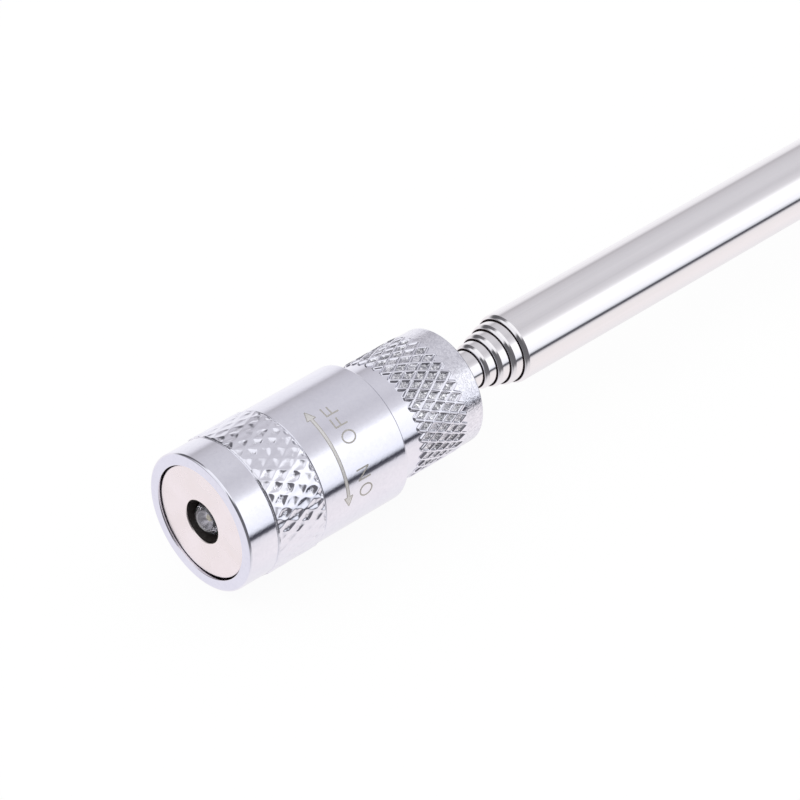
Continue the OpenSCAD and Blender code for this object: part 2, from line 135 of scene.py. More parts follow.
# %% [markdown]
# ## Studio light
#
# Bright metal shows its surroundings, so the studio matters more than any lamp. The tool lies under one
# long softbox on its right, below a grey ceiling, on a white table. The edge of the table leaves a narrow
# dark gap under the softbox. Black cards stand in front of the tool and past its far end: they draw the
# thin dark lines on the rounded edges. All of it could be built from lit planes, but a painted world has
# no noise and no edges to line up. It is three strips that run round the tool's axis: beside it, in front
# of it, and behind the camera. A row is an angle in degrees, with 0 level on the softbox's side and 90
# overhead, and the colour there.

# %% Choose the studio's colours
BESIDE = [
    (-180, 0.97, 0.96, 0.99), (-165, 1.02, 1.01, 1.04), (-145, 0.98, 0.97, 1.00), (-130, 0.88, 0.865, 0.885),
    (-91, 0.95, 0.925, 0.945), (-61, 1.01, 0.962, 0.972), (-34, 0.99, 0.945, 0.95), (-25, 0.93, 0.895, 0.91),
    (-20.5, 0.76, 0.74, 0.77), (-17, 0.13, 0.13, 0.15), (-12, 0.035, 0.035, 0.05), (-9.5, 0.42, 0.43, 0.47),
    (-7, 0.78, 0.80, 0.86), (-3, 1.02, 1.04, 1.10), (6, 1.12, 1.13, 1.19), (22, 1.19, 1.20, 1.22),
    (34, 1.27, 1.27, 1.28), (44, 1.24, 1.24, 1.27), (50, 0.97, 0.97, 1.00), (56, 0.81, 0.80, 0.835),
    (64, 0.74, 0.73, 0.765), (76, 0.68, 0.67, 0.705), (100, 0.74, 0.73, 0.765), (125, 0.70, 0.69, 0.725),
    (140, 0.655, 0.64, 0.675), (149, 0.60, 0.585, 0.615), (156, 0.545, 0.53, 0.555), (161, 0.71, 0.695, 0.73),
    (165, 0.83, 0.815, 0.85), (170, 0.92, 0.91, 0.94), (180, 0.99, 0.98, 1.01),
]
IN_FRONT = [
    (-180, 0.98, 0.95, 0.97), (-80, 0.98, 0.95, 0.97), (-50, 0.92, 0.89, 0.91), (-32, 0.80, 0.78, 0.80),
    (-22, 0.34, 0.33, 0.35), (-15, 0.15, 0.145, 0.16), (20, 0.15, 0.145, 0.16), (42, 0.20, 0.195, 0.21),
    (56, 1.08, 1.08, 1.11), (108, 1.08, 1.08, 1.11), (121, 0.22, 0.21, 0.23), (150, 0.11, 0.11, 0.12),
    (164, 0.13, 0.13, 0.14), (176, 0.85, 0.83, 0.86), (180, 0.98, 0.95, 0.97),
]
BEHIND = [
    (-180, 0.93, 0.91, 0.97), (-78, 0.90, 0.88, 0.94), (-48, 0.66, 0.65, 0.68), (-28, 0.18, 0.18, 0.19),
    (60, 0.12, 0.12, 0.13), (73, 0.98, 0.98, 1.02), (132, 0.98, 0.98, 1.02), (150, 0.36, 0.35, 0.37),
    (165, 0.30, 0.29, 0.31), (178, 0.93, 0.91, 0.97), (180, 0.93, 0.91, 0.97),
]
FAR_CARD = (0.30, 0.30, 0.33)
WHITE = (1, 1, 1)
print(f"{len(BESIDE)}, {len(IN_FRONT)} and {len(BEHIND)} colours round the tool")

# %% [markdown]
# ### Wiring nodes
#
# The world and every finish are node trees. One small helper joins two sockets. The other three place a
# node, wire it and hand back its output, so a recipe reads from the inside out, like a sum.

# %% Write the wiring helpers
def link(tree, source, target):
    """Joins an output to an input of the same tree, or writes a plain value into the input."""
    if isinstance(source, bpy.types.NodeSocket):
        tree.links.new(source, target)
    else:
        target.default_value = source


def maths(tree, operation, *values):
    """A Math node: the operation on its values."""
    node = tree.nodes.new("ShaderNodeMath")
    node.operation = operation
    for socket, value in zip(node.inputs, values):
        link(tree, value, socket)
    return node.outputs[0]


def spread(tree, value, from_low, from_high, low=0.0, high=1.0):
    """A Map Range node: carries value evenly from one range to another, held at both ends."""
    node = tree.nodes.new("ShaderNodeMapRange")
    for label, number in (("Value", value), ("From Min", from_low), ("From Max", from_high),
                          ("To Min", low), ("To Max", high)):
        link(tree, number, node.inputs[label])
    return node.outputs["Result"]


def blend_colours(tree, factor, first, second):
    """A Mix node: the first colour times 1 - factor, plus the second times factor."""
    node = tree.nodes.new("ShaderNodeMix")
    node.data_type = "RGBA"
    for index, value in ((0, factor), (6, first), (7, second)):
        link(tree, (*value, 1) if isinstance(value, tuple) else value, node.inputs[index])
    return node.outputs[2]


print("helpers for node trees are ready")

# %% [markdown]
# ### Painting the world
#
# A reflected ray has a direction. Its part along the tool chooses the strip, its angle round the tool the
# colour on it. Only reflections see the strips. Everything else sees even white light of strength 1, so
# a painted or plastic surface shows its own colour.

# %% Paint the studio
BEHIND_TO_FRONT, FRONT_TO_BESIDE, BESIDE_TO_FAR = (-0.38, -0.26), (0.36, 0.46), (0.82, 0.92)


def strip(tree, angle, stops):
    """A strip of the studio: its colour by the angle round the tool's axis, even between its stops."""
    ramp = tree.nodes.new("ShaderNodeValToRGB")
    link(tree, spread(tree, angle, -math.pi, math.pi), ramp.inputs["Fac"])
    elements = ramp.color_ramp.elements
    elements.remove(elements[1])
    for number, (degrees, *colour) in enumerate(stops):
        spot = (degrees + 180) / 360
        stop = elements[0] if number == 0 else elements.new(spot)
        stop.position = spot
        stop.color = (*colour, 1)
    return ramp.outputs["Color"]


world = bpy.data.worlds.new("studio")
bpy.context.scene.world = world
world.use_nodes = True
sky = world.node_tree
sky.nodes.clear()
parts = sky.nodes.new("ShaderNodeSeparateXYZ")
link(sky, sky.nodes.new("ShaderNodeTexCoord").outputs["Generated"], parts.inputs[0])
lengthwise, across, upwards = parts.outputs
angle = maths(sky, "ARCTAN2", upwards, maths(sky, "MULTIPLY", across, -1))
reflected = strip(sky, angle, BEHIND)
for border, beyond in ((BEHIND_TO_FRONT, strip(sky, angle, IN_FRONT)), (FRONT_TO_BESIDE, strip(sky, angle, BESIDE)),
                       (BESIDE_TO_FAR, FAR_CARD)):
    reflected = blend_colours(sky, spread(sky, lengthwise, *border), reflected, beyond)
rays = sky.nodes.new("ShaderNodeLightPath")
background = sky.nodes.new("ShaderNodeBackground")
link(sky, blend_colours(sky, rays.outputs["Is Glossy Ray"], WHITE, reflected), background.inputs["Color"])
link(sky, background.outputs[0], sky.nodes.new("ShaderNodeOutputWorld").inputs["Surface"])
print(f"studio painted with {len(sky.nodes)} nodes")

# %% [markdown]
# ## The floor
#
# The tool rests on a white table. A plain white plane would take on the tone of the light, so its white
# comes from its own glow for camera rays, and a small diffuse share lets the tool darken it where the two
# touch. Reflections look past it into the painted studio, which already holds the white of the table.

# %% Lay the floor
FLOOR_SHARE = 0.08
FLOOR_WHITE = 1.005
HALF_FLOOR = 400 * MM

mesh = bpy.data.meshes.new("floor")
mesh.from_pydata([(x * HALF_FLOOR, y * HALF_FLOOR, FLOOR_Z) for x, y in ((-1, -1), (1, -1), (1, 1), (-1, 1))],
                 [], [(0, 1, 2, 3)])
floor = bpy.data.objects.new("floor", mesh)
bpy.context.collection.objects.link(floor)
floor.visible_glossy = False
paper = bpy.data.materials.new("white_table")
paper.use_nodes = True
mesh.materials.append(paper)
tree = paper.node_tree
tree.nodes.clear()
matt = tree.nodes.new("ShaderNodeBsdfDiffuse")
link(tree, (FLOOR_SHARE, FLOOR_SHARE, FLOOR_SHARE, 1), matt.inputs["Color"])
glow = tree.nodes.new("ShaderNodeEmission")
rays = tree.nodes.new("ShaderNodeLightPath")
seen = maths(tree, "MAXIMUM", rays.outputs["Is Camera Ray"], rays.outputs["Is Transmission Ray"])
link(tree, maths(tree, "MULTIPLY", seen, FLOOR_WHITE - FLOOR_SHARE), glow.inputs["Strength"])
both = tree.nodes.new("ShaderNodeAddShader")
link(tree, matt.outputs[0], both.inputs[0])
link(tree, glow.outputs[0], both.inputs[1])
link(tree, both.outputs[0], tree.nodes.new("ShaderNodeOutputMaterial").inputs["Surface"])
print(f"floor at {FLOOR_Z / MM:.2f} mm")

# %% [markdown]
# ## Shapes from profiles
#
# Nearly every piece of this tool came off a lathe, so nearly every mesh is a profile turned round the X
# axis. A profile is a list of corners (station, radius, fillet). The fillets matter: a real edge is never
# perfectly sharp, and it is the rounded edge that catches a bright or a dark line. A Bevel modifier could
# round them as well, but here each corner needs a size of its own.

# %% Round the corners of a profile
GUARD = 0.02
SOFT = 0.05


def rounded(corners, closed=True, steps=5):
    """Points of a profile whose corners are cut back by their fillets.

    The fillet's arc starts and ends at radius / tan(half the corner's angle) from the corner, and its
    points are found by swinging evenly between the two directions out of its centre. A guard point just
    outside each end of the arc keeps the flats next to it flat when they are shaded smoothly.
    """
    corners = np.array(corners, float)
    out = []
    for index, (x, r, fillet) in enumerate(corners):
        point = np.array((x, r))
        if fillet == 0 or (not closed and index in (0, len(corners) - 1)):
            out.append(point[None])
            continue
        before = corners[index - 1, :2] - point
        after = corners[(index + 1) % len(corners), :2] - point
        u, v = before / np.linalg.norm(before), after / np.linalg.norm(after)
        half_angle = math.acos(np.clip(u @ v, -1, 1)) / 2
        back = fillet / math.tan(half_angle)
        centre = point + (u + v) / np.linalg.norm(u + v) * fillet / math.sin(half_angle)
        swing = math.pi - 2 * half_angle
        t = np.linspace(0, 1, steps + 1)[:, None]
        first, last = point + u * back - centre, point + v * back - centre
        bow = (np.sin((1 - t) * swing) * first + np.sin(t * swing) * last) / math.sin(swing)
        out.append(np.vstack((point + u * (back + GUARD), centre + bow, point + v * (back + GUARD))))
    return np.vstack(out)


print(f"a small deburred edge is rounded by {SOFT} mm")

# %% [markdown]
# ### From points to meshes
#
# A grid of points becomes a mesh of four-sided faces. Rows run along the profile or path and columns run
# round it. A profile that goes rearwards on the outside and comes back along the bore gives faces that
# all point out of the metal. Spin would do the same for a plain profile, but not for a knurl, whose
# radius changes with the angle.

# %% Make meshes from grids of points
def wrapped_grid(rows, columns, closed_rows=False):
    """Corner numbers of every quad on a grid whose columns close on themselves."""
    i = np.arange(rows if closed_rows else rows - 1)[:, None]
    j = np.arange(columns)[None]
    row, next_row, after = i * columns, (i + 1) % rows * columns, (j + 1) % columns
    return np.stack((row + j, row + after, next_row + after, next_row + j), axis=-1).reshape(-1, 4)


def end_fans(rows, columns):
    """Corner numbers of two fans of triangles that close a grid: the next point after the grid's own is
    the middle of the first row's fan, and the one after it the middle of the last row's."""
    j = np.arange(columns)
    after, last, middle = (j + 1) % columns, (rows - 1) * columns, np.full(columns, rows * columns)
    return np.vstack((np.stack((middle, after, j), axis=-1), np.stack((middle + 1, last + j, last + after), axis=-1)))


def make_piece(name, points, quads, triangles=(), body=None, slot=None, stands_for=(), values=None):
    """Puts whole arrays of points and faces into a smooth mesh that rides on a body of the tool."""
    mesh = bpy.data.meshes.new(name)
    triangles = np.array(triangles, int).reshape(-1, 3)
    corners = np.concatenate((quads.ravel(), triangles.ravel()))
    sizes = np.concatenate((np.full(len(quads), 4), np.full(len(triangles), 3)))
    mesh.vertices.add(len(points))
    mesh.vertices.foreach_set("co", (points * MM).ravel())
    mesh.loops.add(len(corners))
    mesh.loops.foreach_set("vertex_index", corners)
    mesh.polygons.add(len(sizes))
    mesh.polygons.foreach_set("loop_start", np.concatenate(([0], np.cumsum(sizes)[:-1])))
    mesh.polygons.foreach_set("loop_total", sizes)
    mesh.update(calc_edges=True)
    mesh.validate()
    mesh.shade_smooth()
    for label, numbers in (values or {}).items():
        mesh.attributes.new(label, "FLOAT", "POINT").data.foreach_set("value", np.ravel(numbers))
    piece = bpy.data.objects.new(name, mesh)
    bpy.context.collection.objects.link(piece)
    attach(piece, body)
    if stands_for:
        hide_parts(*stands_for)
    print(f"{name}: {len(points)} points, {2 * len(quads) + len(triangles)} triangles")
    return piece


def turned(name, x, r, columns=160, closed=True, **facts):
    """Turns a profile round the X axis.

    A point at station x and radius r lands on (x, r cos a, r sin a) for every angle a. The radius may
    change with the angle, as it does on a knurl. An open profile starts and ends on the axis, where its
    first and last rows shrink to one point each and are closed with a fan of triangles.
    """
    a = np.linspace(0, 2 * math.pi, columns, endpoint=False)
    r = np.broadcast_to(r[:, None], (len(x), columns)) if r.ndim == 1 else r
    points = np.stack((np.broadcast_to(x[:, None], r.shape), r * np.cos(a), r * np.sin(a)), axis=-1)
    if closed:
        return make_piece(name, points.reshape(-1, 3), wrapped_grid(len(x), columns, True), **facts)
    rows = len(x) - 2
    ends = np.array(((x[0], 0, 0), (x[-1], 0, 0)))
    return make_piece(name, np.vstack((points[1:-1].reshape(-1, 3), ends)), wrapped_grid(rows, columns),
                      end_fans(rows, columns), **facts)


def carried(name, points, **facts):
    """A closed piece from a cross-section that was carried along a path: the first and the last row are
    closed with fans round their middles."""
    rows, columns = points.shape[:2]
    middles = points[[0, -1]].mean(axis=1)
    return make_piece(name, np.vstack((points.reshape(-1, 3), middles)), wrapped_grid(rows, columns),
                      end_fans(rows, columns), **facts)


print(f"3 rows of 4 points close with {len(wrapped_grid(3, 4))} quads and {len(end_fans(3, 4))} triangles")

# %% [markdown]
# ## Knurls
#
# A knurl is pressed by wheels cut with fine grooves, which leave two families of raised ridges running
# round the band as left-hand and right-hand helices, and sink the metal between them in small diamonds.
# The barrel's knurl is shallow and worn: rounded bowls as bright as the rest. The cap's is deep and
# sharp: thin bright ridges round dull, grainy pits, and only whole diamonds are pressed, so that its ends
# are zigzag. It could be a bump map, but ridges this coarse show in the outline, so they are geometry.

# %% Work out a knurled band
KNURL_COLUMNS = 680
KNURL_STARTS = 34
END_STEP = 0.05
LAST_BITE, BITE_LEN = 0.11, 0.5


def ease(t):
    """Smooth step: 0 below 0, 1 above 1, and 3t^2 - 2t^3 between."""
    t = np.clip(t, 0, 1)
    return t * t * (3 - 2 * t)


def waves(a, x, rng, size):
    """Slow random unevenness round and along a band: a sum of waves with whole numbers of turns."""
    total = 0
    for turns in (3, 7, 12, 19, 31, 47):
        phase, twist = rng.random(2) * 2 * math.pi
        total = total + np.sin(turns * a + twist * x + phase)
    return size * total / 2.2


def knurled_band(x0, x1, lines, crest, plain, depth, rows, ridges, wall, play, wander, bowls, seed):
    """Stations, radii and pressed depth of a knurled band between two stations.

    Each ridge family is counted by half the sum, or half the difference, of the steps round the band and
    the steps along it, so a ridge lies where that count is whole. The distance to the nearest ridge of
    each family, in parts of the pitch, says how far the metal sinks: nothing up to the ridge's half
    width, then down one wall to the floor.

    Bowls take the square root of the product of the two families, so they are round below and sharp at
    the ridges. They reach both ends of the band, and their last row bites deeper. Other pits take the
    lesser of the two, with a flat floor, and the half diamonds at the ends sink only to the plain radius.

    Play presses each diamond a little more or less than its neighbour, wander bends the ridges, and plain
    is the pair of radii beside the band, in front and behind.
    """
    rng = np.random.default_rng(seed)
    a = np.linspace(0, 2 * math.pi, KNURL_COLUMNS, endpoint=False)[None]
    x = np.linspace(x0, x1, lines)[:, None]
    i = KNURL_STARTS * a / math.pi
    j = rows * (x - x0) / (x1 - x0)
    p, q = (i + j) / 2, (i - j) / 2
    cell = np.floor(p + 1e-9).astype(int) - np.floor(q + 1e-9).astype(int)
    whole = bowls | ((cell >= 1) & (cell <= rows - 1))
    chance = rng.random((KNURL_STARTS, KNURL_STARTS))
    luck = chance[np.floor(p).astype(int) % KNURL_STARTS, np.floor(q).astype(int) % KNURL_STARTS]
    sides = [ease((np.abs(count - np.round(count)) + waves(a, x, rng, wander) - ridge) / wall)
             for count, ridge in zip((p, q), ridges)]
    sunk = np.sqrt(sides[0] * sides[1]) if bowls else np.minimum(*sides)
    pit = np.where(whole, sunk * (1 - play * luck), 0)
    beside = np.where(j < rows / 2, plain[0], plain[1])
    radius = np.where(whole, crest - depth * pit, crest - (crest - beside) * sunk)
    if bowls:
        radius -= LAST_BITE * sunk * (1 - ease((x1 - x) / BITE_LEN))
    step = ease(np.minimum(x - x0, x1 - x) / END_STEP)
    return x[:, 0], beside + (radius - beside) * step, pit * step


def joined(front, band, rear):
    """Rows of a whole piece: the plain profile in front, the knurled band, and the plain profile behind.

    A plain row has the same radius all round and no pits. The band's own end rows would lie on the plain
    ones, so they are left out.
    """
    x, radius, pit = (part[1:-1] for part in band)
    plain = [np.repeat(run[:, 1:], KNURL_COLUMNS, axis=1) for run in (front, rear)]
    return (np.concatenate((front[:, 0], x, rear[:, 0])), np.vstack((plain[0], radius, plain[1])),
            np.vstack((0 * plain[0], pit, 0 * plain[1])))


print(f"{KNURL_STARTS} ridges of each hand, {KNURL_COLUMNS // KNURL_STARTS} columns to a ridge")

# %% [markdown]
# ## The head's barrel
#
# One turned and plated piece: a plain lip round the magnet, the front knurl between two fine turned lines,
# the plain part that carries the marks, and a round rear edge. Inside are the magnet's pocket and the bore
# for the cap's thread. It could be a lathed form with the knurl joined on, but one closed sheet of points
# has no seam, and its rows lie close together only under the knurl.

# %% Turn the barrel
KNURL_RISE = 0.12
BARREL_R = CREST_R - KNURL_RISE
BARREL_KNURL = (3.4, 8.95)
POCKET_R, POCKET_SEAM = MAGNET_R + 0.1, 0.5
MAGNET_END = station("ring_magnet", 1)
SHOULDER_LEN = 1.02
POCKET_END = MAGNET_END + SHOULDER_LEN
BORE_R = 5.15
LINE_DEPTH, LINE_HALF, LINE_AWAY = 0.06, 0.06, 0.1
BARREL_TONE = 0.42


def line(x):
    """Corners of a fine turned line in the barrel."""
    return [(x - LINE_HALF, BARREL_R, 0.02), (x, BARREL_R - LINE_DEPTH, 0.02), (x + LINE_HALF, BARREL_R, 0.02)]


start, stop = BARREL_KNURL
front = rounded([(POCKET_SEAM, POCKET_R, 0), (0, POCKET_R, 0.06), (0, BARREL_R, 0.25), *line(start - LINE_AWAY),
                 (start - GUARD, BARREL_R, 0), (start, BARREL_R, 0)], closed=False)
band = knurled_band(start, stop, lines=98, crest=CREST_R, plain=(BARREL_R, BARREL_R), depth=0.088, rows=5,
                    ridges=(0.05, 0.03), wall=0.43, play=0.6, wander=0.05, bowls=True, seed=11)
rear = rounded([(stop, BARREL_R, 0), (stop + GUARD, BARREL_R, 0), *line(stop + LINE_AWAY),
                (BARREL_END, BARREL_R, 0.22), (BARREL_END, BORE_R, 0.1), (POCKET_END, BORE_R, SOFT),
                (POCKET_END, POCKET_R, SOFT), (POCKET_SEAM, POCKET_R, 0)], closed=False)[:-1]
x, r, pits = joined(front, band, rear)
barrel = turned("barrel", x, r, KNURL_COLUMNS, body="head", slot="plating", stands_for=["head_barrel"],
                values={"pit": BARREL_TONE * pits})

# %% [markdown]
# ## The rear cap
#
# The cap's long spigot is the battery tube and screws into the barrel. Its neck shows behind the barrel,
# then comes a finer, sharper knurl and a rim as grainy as the pits. It is made in the barrel's way. How
# dull each point is goes into the mesh as a value named pit, which the plating reads later.

# %% Turn the rear cap
SPIGOT_X, SPIGOT_R = station("rear_cap"), 5.1
NECK_X, NECK_R = BARREL_END + 0.145, 5.75
THREAD_X, RELIEF = NECK_X - 5.5, 0.15
CAP_KNURL = (NECK_X + 2.27, NECK_X + 8.1)
RIM_R, RIM_TONE = 5.85, 0.36
WEB_X = CAP_END - 5.2
CELL_BORE_R, ROD_HOLE_R = 4.3, 1.95

start, stop = CAP_KNURL
front = rounded([(SPIGOT_X, CELL_BORE_R, 0), (SPIGOT_X, SPIGOT_R - RELIEF, 0.1), (THREAD_X, SPIGOT_R - RELIEF, 0),
                 (THREAD_X, SPIGOT_R, 0.1), (NECK_X, SPIGOT_R, 0), (NECK_X, NECK_R, 0.08),
                 (start - GUARD, NECK_R, 0), (start, NECK_R, 0)], closed=False)
band = knurled_band(start, stop, lines=100, crest=CAP_CREST_R, plain=(NECK_R, RIM_R), depth=0.24, rows=6,
                    ridges=(0.055, 0.05), wall=0.16, play=0.5, wander=0.014, bowls=False, seed=5)
rear = rounded([(stop, RIM_R, 0), (stop + GUARD, RIM_R, 0), (CAP_END, RIM_R, 0.15), (CAP_END, ROD_HOLE_R, 0.1),
                (WEB_X, ROD_HOLE_R, 0), (WEB_X, CELL_BORE_R, 0)], closed=False)
x, r, pits = joined(front, band, rear)
cap = turned("rear_cap_turned", x, r, KNURL_COLUMNS, body="section_1", slot="plating", stands_for=["rear_cap"],
             values={"pit": np.maximum(pits, RIM_TONE * (x[:, None] > stop))})

# %% [markdown]
# ## Magnet and holder
#
# The ring magnet sits in the barrel's pocket with a hairline gap round it, and a black holder lines its
# hole. Two plain rings would do from far away, but the thin bright and dark lines round the hole come
# from their rounded edges, so both are profiles with a fillet at every corner.

# %% Turn the magnet and the holder
MAGNET_X = station("ring_magnet")
MAGNET_FACE_R = MAGNET_R - 0.03
HOLE_R = 2.15
NOSE_X, HOLDER_END = station("led_holder"), station("led_holder", 1)
NOSE_R, SHOULDER_R, SLEEVE_R = HOLE_R - 0.05, POCKET_R - 0.05, 3.2
LENS_X, LENS_END = station("led_lens"), station("led_lens", 1)
LENS_R, FLANGE_R = 1.75, 2.1
FLANGE_X = LENS_END - 1.0
FIT, LENS_GAP = 0.02, 0.05
MOUTH_LEN, MOUTH_EDGE = 1.1, 0.06

p = rounded([(MAGNET_X, MAGNET_FACE_R, 0.12), (MAGNET_END, MAGNET_FACE_R, 0.1), (MAGNET_END, HOLE_R, SOFT),
             (MAGNET_X, HOLE_R, 0.14)])
magnet = turned("magnet", *p.T, 256, body="head", slot="magnet_nickel", stands_for=["ring_magnet"])

p = rounded([
    (NOSE_X, NOSE_R, SOFT), (MAGNET_END + FIT, NOSE_R, 0), (MAGNET_END + FIT, SHOULDER_R, SOFT),
    (POCKET_END - FIT, SHOULDER_R, SOFT), (POCKET_END - FIT, SLEEVE_R, 0), (HOLDER_END, SLEEVE_R, 0.1),
    (HOLDER_END, FLANGE_R + LENS_GAP, 0), (FLANGE_X - FIT, FLANGE_R + LENS_GAP, 0),
    (FLANGE_X - FIT, LENS_R + LENS_GAP, 0), (NOSE_X + MOUTH_LEN, LENS_R + LENS_GAP, 0.3),
    (NOSE_X, NOSE_R - MOUTH_EDGE, 0.02)])
holder = turned("lamp_holder", *p.T, 160, body="head", slot="black_plastic", stands_for=["led_holder"])

# %% [markdown]
# ## The lamp
#
# The domed end of a clear lamp shows at the bottom of the holder. In the lens stands a small bright cup
# with a dot of yellow phosphor over the chip. A painted dome would stay dull: the lens only looks like
# one when light bends through it and finds something inside, so all three are separate closed forms.

# %% Turn the lens, its cup and the phosphor
CUP_X, CUP_R, CUP_LIP = 0.95, 0.75, 0.06
CUP_FLOOR_X, CUP_FLOOR_R = CUP_X + 0.45, 0.35
CUP_BACK_X, CUP_BACK_R = CUP_FLOOR_X + 0.3, 0.6
DOT_RISE, DOT_R = 0.2, 0.26


def domed(x, height, radius):
    """Points of half an ellipse, from its top at station x - height to its foot at station x."""
    swing = np.linspace(0, math.pi / 2, 25)[:, None]
    return np.hstack((x - height * np.cos(swing), radius * np.sin(swing)))


base = rounded([(LENS_X + LENS_R, LENS_R, 0), (FLANGE_X, LENS_R, SOFT), (FLANGE_X, FLANGE_R, 0.08),
                (LENS_END, FLANGE_R, SOFT), (LENS_END, 0, 0)], closed=False)
p = np.vstack((domed(LENS_X + LENS_R, LENS_R, LENS_R), base[1:]))
lamp = turned("lamp_lens", *p.T, 128, closed=False, body="head", slot="clear_lens", stands_for=["led_lens"])
p = rounded([(CUP_FLOOR_X, 0, 0), (CUP_FLOOR_X, CUP_FLOOR_R, SOFT), (CUP_X, CUP_R - CUP_LIP, 0.02),
             (CUP_X, CUP_R, 0.02), (CUP_BACK_X, CUP_BACK_R, SOFT), (CUP_BACK_X, 0, 0)], closed=False)
cup = turned("lamp_cup", *p.T, 64, closed=False, body="head", slot="tinned_steel")
foot = ((CUP_FLOOR_X + 0.02, DOT_R - 0.04), (CUP_FLOOR_X + 0.02, 0))
p = np.vstack((domed(CUP_FLOOR_X, DOT_RISE, DOT_R), foot))
phosphor = turned("lamp_phosphor", *p.T, 48, closed=False, body="head")

# %% [markdown]
# ## The telescopic tubes
#
# Five stainless tubes nest in each other. The front end of each is swaged in until it guides the next
# tube, which leaves a smooth, nose-shaped lip and a dark hairline where the thinner tube comes out. The
# inner end flares a little, so the friction spring behind it can't slip off. One function makes them all,
# because a tube differs from its neighbour only in its sizes. The sheared edge of a lip was never
# polished, so its points carry a value named edge, and the steel is painted nearly black there: partly
# the dull edge itself, and partly painted shade that stands in for the shadow in the gap round the
# thinner tube.

# %% Draw the five tubes
WALL, STEP = 0.25, 0.4
LIP_CLEAR, LIP_EDGE, NOSE_LEN = 0.05, 0.1, 0.5
FLARE, BELL_LEN = 0.1, 0.35
TUBE_COLUMNS = 192


def lip(x, radius, inner):
    """Points of a swaged nose, and how many of them are its sheared edge: a parabola t(2 - t) from the
    edge up to the plain tube."""
    t = np.linspace(0.04, 1, 14)[:, None]
    near = inner + LIP_EDGE
    outer = np.hstack((x + NOSE_LEN * t, near + (radius - near) * t * (2 - t)))
    edge = np.array(((x + 0.04, inner), (x + 0.01, inner + 0.02), (x, inner + 0.04), (x, near - 0.015)))
    return np.vstack((edge, outer, ((x + NOSE_LEN + 0.1, radius),))), len(edge)


def tube(name, node, radius, guides):
    """A tube between its solid's ends: swaged in front if it guides a thinner tube, else cut square, and
    flared behind if it lies in a wider one."""
    front, rear, bore = station(node), station(node, 1), radius - WALL
    if guides:
        inner = radius - STEP + LIP_CLEAR
        start, dull_edge_and_shade_rows = lip(front, radius, inner)
        finish = np.array(((front + 1.0, bore), (front + 0.8, bore), (front + 0.4, inner + 0.02),
                           (front + 0.15, inner)))
    else:
        start = rounded([(front, bore, 0), (front, radius, SOFT), (rear, radius, 0)], closed=False)[:-1]
        finish, dull_edge_and_shade_rows = np.zeros((0, 2)), 0
    if radius < MAIN_R:
        x, foot = rear - BELL_LEN, rear - 2 * BELL_LEN
        bell = [(foot, radius, 0.3), (x, radius + FLARE, 0.1), (rear, radius + FLARE, SOFT),
                (rear, bore + FLARE, SOFT), (x, bore + FLARE, 0.1), (foot, bore, 0.3)]
    else:
        bell = [(rear, radius, 0.06), (rear, bore, 0.06)]
    bell = rounded([(front, radius, 0), *bell, (front, bore, 0)], closed=False)[1:-1]
    p = np.vstack((start, bell, finish))
    # The lip's edge rows get the value that the steel paints almost black: the dull sheared edge, plus painted shade
    # for the gap round the thinner tube.
    edge = np.repeat(np.arange(len(p)) < dull_edge_and_shade_rows, TUBE_COLUMNS).astype(float)
    return turned(name, *p.T, TUBE_COLUMNS, body=node, slot="tube_steel", stands_for=[node], values={"edge": edge})


tubes = [tube(f"tube_{k}", f"section_{k}", MAIN_R - (5 - k) * STEP, k > 1) for k in range(1, 5)]
tubes.append(tube("tube_main", "main_tube", MAIN_R, True))

# %% [markdown]
# ## The tail cap
#
# A plain rounded button is pressed into the main tube's rear end. It is one open profile from axis to
# axis, with more steps in its fillets than elsewhere, because its large round edge shows them.

# %% Turn the tail cap
TAIL_X, TAIL_END = station("tail_cap"), station("tail_cap", 1)
PLUG_R = MAIN_R - WALL - 0.05
BUTTON_X = station("main_tube", 1) + 0.02

p = rounded([(TAIL_X, 0, 0), (TAIL_X, PLUG_R, 0.3), (BUTTON_X, PLUG_R, 0), (BUTTON_X, MAIN_R, 0.08),
             (TAIL_END, MAIN_R, 1.8), (TAIL_END, 0, 0)], closed=False, steps=12)
tail = turned("tail_button", *p.T, 160, closed=False, body="main_tube", slot="plating", stands_for=["tail_cap"])

# %% [markdown]
# ## The pocket clip
#
# The clip is one strip of springy steel: a band hugs the tube, and an arm arches out, comes back to nip a
# pocket's edge and ends in a turned-up tip. A flat sheet with Solidify and Bevel would give the strip,
# but not its tip, which narrows to a half circle. So a rounded cross-section is carried along the bends.

# %% Bend the pocket clip
CLIP_T, CLIP_HALF, CLIP_EDGE = 0.5, 2.5, 0.16
CLIP_X, BAND_END = station("pocket_clip"), station("pocket_clip", 1)
BAND_X = BAND_END - 7.0
BAND_R = MAIN_R + 0.05
SEAT_R = BAND_R + CLIP_T / 2
ARM_R = -FLOOR_Z / MM - CLIP_T / 2
TIP_R, NIP_R = BAND_R + 2.1, MAIN_R + 0.55
BEND = 1.75


def along(path, gap):
    """Evenly spaced points along a path, by measuring its length and reading it off at equal steps."""
    length = np.concatenate(([0], np.cumsum(np.linalg.norm(np.diff(path, axis=0), axis=1))))
    s = np.linspace(0, length[-1], int(length[-1] / gap) + 1)
    return np.stack([np.interp(s, length, path[:, c]) for c in range(path.shape[1])], axis=-1), s


def directions(path):
    """Unit vectors along a path in a plane, and square to it on its left."""
    way = np.gradient(path, axis=0)
    way /= np.linalg.norm(way, axis=1)[:, None]
    return way, np.stack((-way[:, 1], way[:, 0]), axis=-1)


